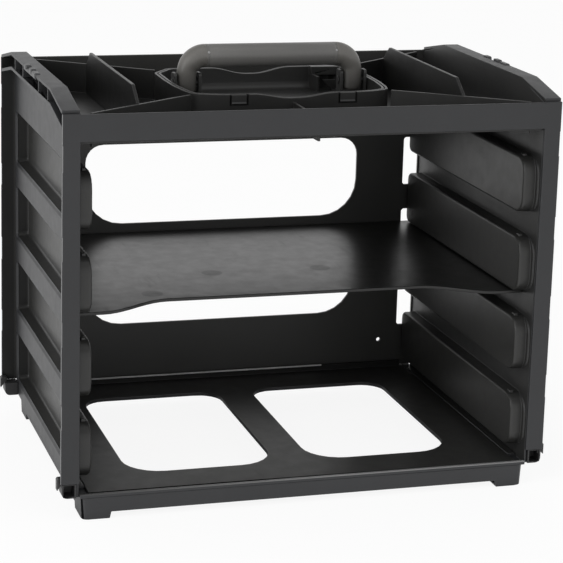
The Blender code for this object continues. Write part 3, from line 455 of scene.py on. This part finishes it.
def tab_seams(plastic):
    """Painted shade in the seams round the snap tabs' sides and bottoms, and a painted highlight on
    the lip along each tab's foot.
    """
    at_face = plastic.past(plastic.along("Y"), *TAB_FACE_Y)
    below = plastic.minus(TAB_BOTTOM_Z * MM, plastic.along("Z"))
    for left, right in TAB_SPANS_X:
        middle, half = (left + right) / 2, (right - left) / 2
        off_middle = plastic.size_of(plastic.minus(plastic.along("X"), middle * MM))
        aside = plastic.minus(off_middle, half * MM)
        off_seam = plastic.size_of(plastic.plus(plastic.most(aside, below), TAB_SEAM_INSET * MM))
        # Painted shade in the seam round the tab
        seam = plastic.times(at_face, plastic.past(off_seam, *TAB_SEAM_WIDTH))
        plastic.tint(seam, SEAM_SHADE, strength=0.7)
        plastic.dull(seam, by=0.3)
        # Painted highlight on the lip along the tab's foot
        low = plastic.times(plastic.past(below, *TAB_LIP_BOTTOM), plastic.past(below, *TAB_LIP_TOP))
        lip = plastic.times(at_face, plastic.past(aside, *TAB_LIP_SIDE), low)
        plastic.tint(lip, TAB_LIP_HIGHLIGHT, strength=0.8)


def shelf_discs(plastic):
    """Faint dull discs on the shelf."""
    for centre in SHELF_DISCS:
        disc = plastic.disc(centre, SHELF_DISC_RADIUS, SHELF_DISC_BLUR)
        plastic.roughen(disc, by=0.05)
        plastic.dull(disc, by=0.09)


def painted_leg_shade(plastic):
    """Painted shade darkens the handle's legs towards their pivots."""
    plastic.tint(plastic.past(plastic.along("Z"), *LEG_SHADE_Z), LEG_SHADE, strength=0.75)


# ---------------------------------------------------------------- plastic finishes


def vary_tone(plastic, streaks):
    """Soft clouds, flow lines and a fine speckle in the colour."""
    clouds = plastic.drift(CLOUDS, 1 - streaks, 1 + streaks)
    flow = plastic.drift(FLOW_LINES, -streaks * FLOW_SHARE, streaks * FLOW_SHARE, FLOW_STRETCH)
    tone = plastic.times(plastic.plus(clouds, flow), plastic.drift(SPECKLE, *SPECKLE_TONES))
    grey = plastic.node("ShaderNodeCombineXYZ", {0: tone, 1: tone, 2: tone})
    plastic.tint(1.0, grey, blend="MULTIPLY")


def weather_and_painted_light(plastic, colour):
    """Pale smooth edges, partly rubbed wear and partly painted highlight; painted shade in dull
    corners; dust on what lies level, mottling and scuffs.
    """
    patches = plastic.spread(plastic.noise(WEAR_PATCHES), *WEAR_SPAN, *WEAR_SHARES)
    # Pale edges: partly rubbed wear, partly painted highlight
    wear_and_highlight = plastic.times(plastic.edges(EDGE_WEAR_AND_HIGHLIGHT_REACH), patches)
    paler = tuple(min(1.0, channel * EDGE_WEAR_AND_HIGHLIGHT_GAIN + EDGE_WEAR_AND_HIGHLIGHT_LIFT) for channel in colour)
    plastic.tint(wear_and_highlight, paler, strength=0.75)
    plastic.roughen(wear_and_highlight, by=-0.10)
    # Painted shade in corners, which are rougher too
    corner = plastic.crevices(CORNER_REACH)
    corner_shade_colour = tuple(channel * CORNER_SHADE for channel in colour)
    plastic.tint(corner, corner_shade_colour, strength=0.55)
    plastic.roughen(corner, by=0.10)
    level = plastic.spread(plastic.facing("Z"), *FACES_UP)
    dusty = plastic.times(level, plastic.spread(plastic.noise(DUST_GRAINS), *DUST_SPAN))
    plastic.tint(dusty, DUST, strength=0.25)
    plastic.roughen(plastic.drift(MOTTLE, *MOTTLE_ROUGHNESS))
    plastic.roughen(plastic.spread(plastic.noise(SCUFFS, SCUFF_STRETCH), *SCUFF_SPAN), by=0.05)


def roughen_surface(plastic, grain):
    """A fine eroded grain over shallow sink marks."""
    pits = plastic.plus(plastic.noise(PITS), plastic.times(plastic.cells(PIT_CELLS), PIT_CELL_SHARE))
    fine = plastic.node("ShaderNodeBump", {"Height": pits, "Distance": PIT_DEPTH, "Strength": grain})
    sinks = {"Height": plastic.noise(SINKS), "Distance": SINK_DEPTH, "Strength": SINK_STRENGTH}
    bumps = plastic.node("ShaderNodeBump", {**sinks, "Normal": fine})
    plastic.feed(plastic.shader.inputs["Normal"], bumps)


def moulded(name, colour, roughness, grain, inner_from=None, streaks=0.06, marks=None):
    """Moulded plastic with an eroded grain, flow streaks, paler edges that are partly rubbed wear and
    partly painted highlight, painted shade in its dull corners and faint scuffs.

    The smoother inside finish is taken by the faces past inner_from: an axis, and the places along it,
    to either side, where the inside starts and where it's complete.
    """
    material = bpy.data.materials.new(name)
    plastic = Plastic(material, colour, roughness)
    if inner_from:
        axis, start, complete = inner_from
        inner = plastic.past(plastic.size_of(plastic.along(axis)), start, complete)
        plastic.tint(inner, INSIDE)
        plastic.roughness = plastic.blend_numbers(inner, roughness, INSIDE_ROUGHNESS)
        grain = plastic.blend_numbers(inner, grain, grain * INSIDE_GRAIN)
    vary_tone(plastic, streaks)
    weather_and_painted_light(plastic, colour)
    if marks:
        marks(plastic)
    roughen_surface(plastic, grain)
    plastic.finish()
    return material


# Name, colour, roughness and grain
FRAME = moulded("frame_finish", OUTSIDE, 0.46, 0.55, marks=post_corner_highlights)
WALLS = moulded("wall_finish", OUTSIDE, 0.46, 0.55, ("X", *INNER_WALL_X), marks=shaded_hollow_ends)
BASE = moulded("base_finish", SKIRT, 0.46, 0.55, ("Z", *INNER_FLOOR_Z), marks=base_lips)
LINING = moulded("lining_finish", PANEL, 0.36, 0.25, marks=shaded_flanges)
TRAYS = moulded("tray_finish", TRAY, 0.40, 0.25, marks=tab_seams)
INSERT = moulded("insert_finish", HOUSING, 0.40, 0.25, marks=tab_seams)
DIVIDERS = moulded("divider_finish", DIVIDER, 0.40, 0.25)
SHELF = moulded("shelf_finish", DIVIDER, 0.31, 0.16, marks=shelf_discs)
BAIL = moulded("bail_finish", HANDLE, 0.36, 0.22, streaks=0.03, marks=painted_leg_shade)
SLEEVE = moulded("grip_finish", GRIP, 0.40, 0.35, streaks=0.03)
SHOES = moulded("shoe_finish", SHOE, 0.42, 0.35)
CLIPS = moulded("clip_finish", CLIP, 0.40, 0.25)
PINS = moulded("pin_finish", PIN, 0.36, 0.15)
HIGHLIGHT_EDGE = moulded("highlight_edge_finish", PAINTED_HIGHLIGHT, 0.40, 0.15, streaks=0.2)
LEAK_HIGHLIGHT = moulded("leak_highlight_finish", LEAK, 0.40, 0.15, streaks=0.2)

FINISHES = {
    "front_frame": FRAME,
    "left_side_wall": WALLS,
    "right_side_wall": WALLS,
    "base_tray": BASE,
    "back_panel": LINING,
    "mid_shelf": SHELF,
    "top_tray": TRAYS,
    "left_divider": DIVIDERS,
    "right_divider": DIVIDERS,
    "handle_housing": INSERT,
    "handle_pin_left": PINS,
    "handle_pin_right": PINS,
    "left_coupler": CLIPS,
    "right_coupler": CLIPS,
    "front_left_shoe": SHOES,
    "front_right_shoe": SHOES,
    "back_left_shoe": SHOES,
    "back_right_shoe": SHOES,
}


def soften(thing, width, windowed):
    """Rounds a moulding's sharp edges and shades it smooth. Windowed flats are split up first."""
    weld = thing.modifiers.new("weld", "WELD")
    weld.merge_threshold = WELD_REACH * MM
    flat = thing.modifiers.new("flats", "DECIMATE")
    flat.decimate_type = "DISSOLVE"
    flat.angle_limit = FLAT_ANGLE
    if windowed:
        thing.modifiers.new("split", "TRIANGULATE")
    round_off = thing.modifiers.new("edges", "BEVEL")
    round_off.width = width * MM
    round_off.segments = 2
    round_off.limit_method = "ANGLE"
    round_off.angle_limit = ROUNDED_ANGLE
    round_off.use_clamp_overlap = False
    round_off.miter_outer = "MITER_SHARP"
    shade = thing.modifiers.new("shade", "WEIGHTED_NORMAL")
    shade.keep_sharp = False
    shade.weight = 100


for node_name, finish in FINISHES.items():
    moulding = NODES[node_name]
    moulding.data.materials.clear()
    moulding.data.materials.append(finish)
    moulding.data.shade_smooth()
    soften(moulding, EDGE_WIDTHS.get(node_name, SMALL_EDGE), node_name == WINDOWED)


# ---------------------------------------------------------------- moulding details


def mesh_from(name, shape):
    """Turns the shape into a mesh and frees it."""
    mesh = bpy.data.meshes.new(name)
    shape.to_mesh(mesh)
    shape.free()
    return mesh


def show(name, data):
    """A new object in the scene."""
    thing = bpy.data.objects.new(name, data)
    bpy.context.scene.collection.objects.link(thing)
    return thing


def add_piece(name, shape, finish, body):
    mesh = mesh_from(name, shape)
    mesh.materials.append(finish)
    mesh.shade_smooth()
    mesh.set_sharp_from_angle(angle=SHARP_ANGLE)
    thing = show(name, mesh)
    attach(thing, body)
    return thing


def lathe(shape, profile, matrix, steps):
    """Turns a solid in the shape. Its profile of (radius, height) runs from axis to axis, or round."""
    rows = []
    for radius, height in profile:
        if radius == 0:
            rows.append([shape.verts.new(matrix @ Vector((0, 0, height * MM)))])
            continue
        ring = []
        for step in range(steps):
            turn = 2 * pi * step / steps
            place = Vector((radius * cos(turn), radius * sin(turn), height)) * MM
            ring.append(shape.verts.new(matrix @ place))
        rows.append(ring)
    for below, above in zip(rows, rows[1:]):
        for step in range(steps):
            after = (step + 1) % steps
            corners = [below[step % len(below)], below[after % len(below)]]
            corners += [above[after % len(above)], above[step % len(above)]]
            shape.faces.new(list(dict.fromkeys(corners)))


def carve(thing, drill):
    """Cuts the drill's shape out of the piece's mesh."""
    tool = show(thing.name + "_drill", mesh_from(thing.name + "_drill", drill))
    cut = thing.modifiers.new(tool.name, "BOOLEAN")
    cut.operation = "DIFFERENCE"
    cut.solver = "EXACT"
    cut.object = tool
    bpy.context.view_layer.update()
    evaluated = thing.evaluated_get(bpy.context.evaluated_depsgraph_get())
    carved = bpy.data.meshes.new_from_object(evaluated)
    thing.modifiers.clear()
    thing.data = carved
    carved.set_sharp_from_angle(angle=SHARP_ANGLE)
    bpy.data.objects.remove(tool, do_unlink=True)


def eased(angle, low, high):
    """0 below the low angle, 1 above the high one, smooth between."""
    share = min(1.0, max(0.0, (angle - low) / (high - low)))
    return share * share * (3 - 2 * share)


def bail_path():
    """Centre line of the bail from the right leg's end to the grip: (x, z, radius, direction)."""
    path = []
    round_steps, leg_steps, bend_steps = 6, 6, 22
    for step in range(round_steps + 1):
        turn = pi / 2 * step / round_steps
        radius = LEG_RADIUS - LEG_END_ROUND * (1 - sin(turn))
        path.append((LEG_X, LEG_END_Z + LEG_END_ROUND * (1 - cos(turn)), radius, 0.0))
    leg_foot = LEG_END_Z + LEG_END_ROUND
    bend_foot = GRIP_Z - BEND_RADIUS
    for step in range(1, leg_steps):
        z = leg_foot + (bend_foot - leg_foot) * step / leg_steps
        path.append((LEG_X, z, LEG_RADIUS, 0.0))
    for step in range(bend_steps):
        angle = 90 * step / bend_steps
        turn = radians(angle)
        swells = (growth * eased(angle, low, high) for growth, low, high in BEND_SWELLS)
        radius = LEG_RADIUS + sum(swells)
        x = LEG_X - BEND_RADIUS * (1 - cos(turn))
        path.append((x, bend_foot + BEND_RADIUS * sin(turn), radius, turn))
    for out, inset in SHOULDER:
        x = GRIP_HALF_LENGTH - SHOULDER_INSET + out
        path.append((x, GRIP_Z, GRIP_RADIUS - inset, pi / 2))
    return path


def add_bail():
    """The handle's U as one round sweep, its leg ends domed, bored for the pins."""
    right = bail_path()
    left = [(-x, z, radius, pi - turn) for x, z, radius, turn in reversed(right)]
    shape = bmesh.new()
    rings = []
    for x, z, radius, turn in right + left:
        out = Vector((cos(turn), 0, sin(turn)))
        ring = []
        for step in range(BAIL_SIDES):
            angle = 2 * pi * step / BAIL_SIDES
            offset = out * (radius * cos(angle)) + Vector((0, radius * sin(angle), 0))
            ring.append(shape.verts.new((Vector((x, 0, z)) + offset) * MM))
        rings.append(ring)
    for first, second in zip(rings, rings[1:]):
        for step in range(BAIL_SIDES):
            after = (step + 1) % BAIL_SIDES
            shape.faces.new((first[step], first[after], second[after], second[step]))
    shape.faces.new(rings[0])
    shape.faces.new(rings[-1])
    bmesh.ops.recalc_face_normals(shape, faces=shape.faces)
    bail = add_piece("handle_bail_sweep", shape, BAIL, "handle")
    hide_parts("handle_bail")
    half = BORE_HALF_LENGTH
    bore = ((0, -half), (BORE_RADIUS, -half), (BORE_RADIUS, half), (0, half))
    for side in (-1, 1):
        drill = bmesh.new()
        place = Matrix.Translation(Vector((side * LEG_X, 0, PIVOT_Z)) * MM)
        lathe(drill, bore, place @ Matrix.Rotation(pi / 2, 4, "Y"), BORE_SIDES)
        bmesh.ops.recalc_face_normals(drill, faces=drill.faces)
        carve(bail, drill)


def add_grip():
    """The sleeve round the bail's middle, with softened ends and a fine seam groove near each."""
    half = GRIP_HALF_LENGTH - SLEEVE_GAP
    bore = CORE_RADIUS + SLEEVE_WALL_GAP
    left = [(GRIP_RADIUS - inset, along - half) for inset, along in SLEEVE_END]
    right = [(radius, -along) for radius, along in reversed(left)]
    profile = [(bore, -half), *left, *right, (bore, half), (bore, -half)]
    shape = bmesh.new()
    place = Matrix.Translation(Vector((0, 0, GRIP_Z)) * MM) @ Matrix.Rotation(pi / 2, 4, "Y")
    lathe(shape, profile, place, SLEEVE_SIDES)
    bmesh.ops.remove_doubles(shape, verts=shape.verts, dist=WELD_REACH * MM)
    bmesh.ops.recalc_face_normals(shape, faces=shape.faces)
    sleeve = add_piece("handle_grip_sleeve", shape, SLEEVE, "handle")
    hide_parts("handle_grip")


def add_gate_marks():
    """A small moulding gate near each end of the grip, pale with a painted highlight."""
    shape = bmesh.new()
    lean = Matrix.Rotation(GATE_LEAN, 4, "X")
    outwards = Matrix.Translation(Vector((0, 0, GRIP_RADIUS - GATE_SUNK)) * MM)
    for side in (-1, 1):
        place = Vector((side * (GRIP_HALF_LENGTH - GATE_INSET), 0, GRIP_Z)) * MM
        lathe(shape, GATE_OUTLINE, Matrix.Translation(place) @ lean @ outwards, GATE_SIDES)
    bmesh.ops.recalc_face_normals(shape, faces=shape.faces)
    add_piece("handle_gate_marks", shape, HIGHLIGHT_EDGE, "handle")


def add_rear_lip_highlight():
    """A painted highlight: a pale strip along the top of the floor's rear lip, where light leaks past
    the back panel.
    """
    shape = bmesh.new()
    bmesh.ops.create_cube(shape, size=1)
    low, high = (Vector(corner) * MM for corner in REAR_EDGE)
    bmesh.ops.scale(shape, vec=high - low, verts=shape.verts)
    bmesh.ops.translate(shape, vec=(low + high) / 2, verts=shape.verts)
    offset = REAR_EDGE_ROUND * MM
    bmesh.ops.bevel(shape, geom=shape.edges[:], offset=offset, segments=2, affect="EDGES")
    add_piece("rear_lip_highlight", shape, LEAK_HIGHLIGHT, "rack")


add_bail()
add_grip()
add_gate_marks()
add_rear_lip_highlight()


# ---------------------------------------------------------------- studio


def stage_material():
    """Matte, but evenly bright to the camera, and in reflections outside the rack's footprint."""
    material = bpy.data.materials.new("studio_floor")
    floor = Nodes(material)
    matte = floor.tree.nodes["Principled BSDF"]
    floor.feed(matte.inputs["Base Color"], STAGE_MATTE)
    floor.feed(matte.inputs["Roughness"], STAGE_MATTE_ROUGHNESS)
    faint = floor.node("ShaderNodeBsdfDiffuse", {"Color": STAGE_FAINT})
    glow = floor.node("ShaderNodeEmission", {"Strength": STAGE_GLOW})
    even = floor.node("ShaderNodeAddShader", {0: faint, 1: glow})
    place = floor.node("ShaderNodeNewGeometry", {}, "Position")
    beyond = []
    for axis, half in FOOTPRINT.items():
        start, complete = (half + fade for fade in FOOTPRINT_FADE)
        beyond.append(floor.spread(floor.size_of(floor.component(place, axis)), start, complete))
    mirrored = floor.node("ShaderNodeLightPath", {}, "Is Glossy Ray")
    seen = floor.node("ShaderNodeLightPath", {}, "Is Camera Ray")
    share = floor.most(seen, floor.times(mirrored, floor.most(*beyond)))
    surface = floor.node("ShaderNodeMixShader", {0: share, 1: matte.outputs[0], 2: even})
    floor.feed(floor.tree.nodes["Material Output"].inputs["Surface"], surface)
    return material


def add_stage():
    """A large pale floor."""
    shape = bmesh.new()
    bmesh.ops.create_grid(shape, x_segments=1, y_segments=1, size=STAGE_REACH)
    mesh = mesh_from("studio_floor", shape)
    mesh.materials.append(stage_material())
    show("studio_floor", mesh)


def add_world():
    """A white surround that dims towards its zenith, and that the camera sees as even white."""
    world = bpy.data.worlds.new("studio")
    bpy.context.scene.world = world
    surround = Nodes(world)
    height = surround.component(surround.node("ShaderNodeTexCoord", {}, "Generated"), "Z")
    background = surround.tree.nodes["Background"]
    surround.feed(background.inputs["Color"], WHITE)
    dimmed = surround.spread(height, *SURROUND_HEIGHTS, *SURROUND_STRENGTHS)
    surround.feed(background.inputs["Strength"], dimmed)
    even = surround.node("ShaderNodeBackground", {"Color": WHITE, "Strength": 1.0})
    seen = surround.node("ShaderNodeLightPath", {}, "Is Camera Ray")
    surface = surround.node("ShaderNodeMixShader", {0: seen, 1: background.outputs[0], 2: even})
    surround.feed(surround.tree.nodes["World Output"].inputs["Surface"], surface)


def add_softbox(name, place, target, size, watts):
    light = bpy.data.lights.new(name, "AREA")
    light.shape = "RECTANGLE"
    light.size, light.size_y = size
    light.energy = watts
    lamp = show(name, light)
    lamp.location = place
    lamp.rotation_euler = (Vector(target) - Vector(place)).to_track_quat("-Z", "Y").to_euler()


def add_camera():
    """The camera, to the front left of the rack, a little above it and rolled slightly."""
    back = Vector((
        sin(CAMERA_AZIMUTH) * cos(CAMERA_ELEVATION),
        -cos(CAMERA_AZIMUTH) * cos(CAMERA_ELEVATION),
        sin(CAMERA_ELEVATION),
    ))
    right = (-back).cross(Vector((0, 0, 1))).normalized()
    up = right.cross(-back)
    turned_right = right * cos(CAMERA_ROLL) + up * sin(CAMERA_ROLL)
    turned_up = up * cos(CAMERA_ROLL) - right * sin(CAMERA_ROLL)
    lens = bpy.data.cameras.new("camera")
    lens.sensor_width = SENSOR_WIDTH
    lens.lens = LENS_WIDTHS * SENSOR_WIDTH
    lens.shift_x, lens.shift_y = SHIFT
    camera = show("camera", lens)
    axes = Matrix((turned_right, turned_up, back)).transposed().to_4x4()
    camera.matrix_world = Matrix.Translation(CAMERA_TARGET + back * CAMERA_DISTANCE) @ axes
    bpy.context.scene.camera = camera


add_stage()
add_world()
for softbox_name, settings in SOFTBOXES.items():
    add_softbox(softbox_name, *settings)
add_camera()
bpy.context.scene.view_settings.view_transform = "Standard"
